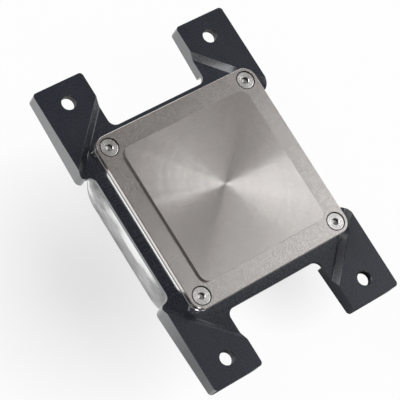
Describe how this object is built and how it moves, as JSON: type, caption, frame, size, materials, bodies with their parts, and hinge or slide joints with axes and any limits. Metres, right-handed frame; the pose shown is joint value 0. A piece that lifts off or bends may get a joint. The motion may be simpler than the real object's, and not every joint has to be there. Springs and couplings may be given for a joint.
{
  "type": "cpu water block",
  "caption": "Liquid cooling block for a desktop processor: turned metal cold plate, clear ported top and a black mounting bracket with stepped arms.",
  "frame": {"origin": "centre of the flat ported face, on which the block lies", "axes": "+Z out of the cold plate, X along the 54 mm hole spacing, Y along the 90 mm hole spacing"},
  "size_m": [0.072, 0.104, 0.0244],
  "materials": {
    "black_bracket": "black anodised, bead blasted",
    "plated_copper": "nickel plated, pad turned",
    "plated_brass": "nickel plated, bright",
    "steel_sheet": "satin",
    "clear_acrylic": "clear acrylic, polished",
    "seal_rubber": "matte",
    "screw_steel": "bright nickel plated"
  },
  "bodies": {
    "root": {"bracket": "black_bracket", "cold_plate": "plated_copper", "middle_frame": "plated_brass", "jet_plate": "steel_sheet", "top_body": "clear_acrylic", "plate_seal": "seal_rubber", "body_seal": "seal_rubber", "plate_screws": "screw_steel", "body_screws": "screw_steel"}
  },
  "joints": []
}
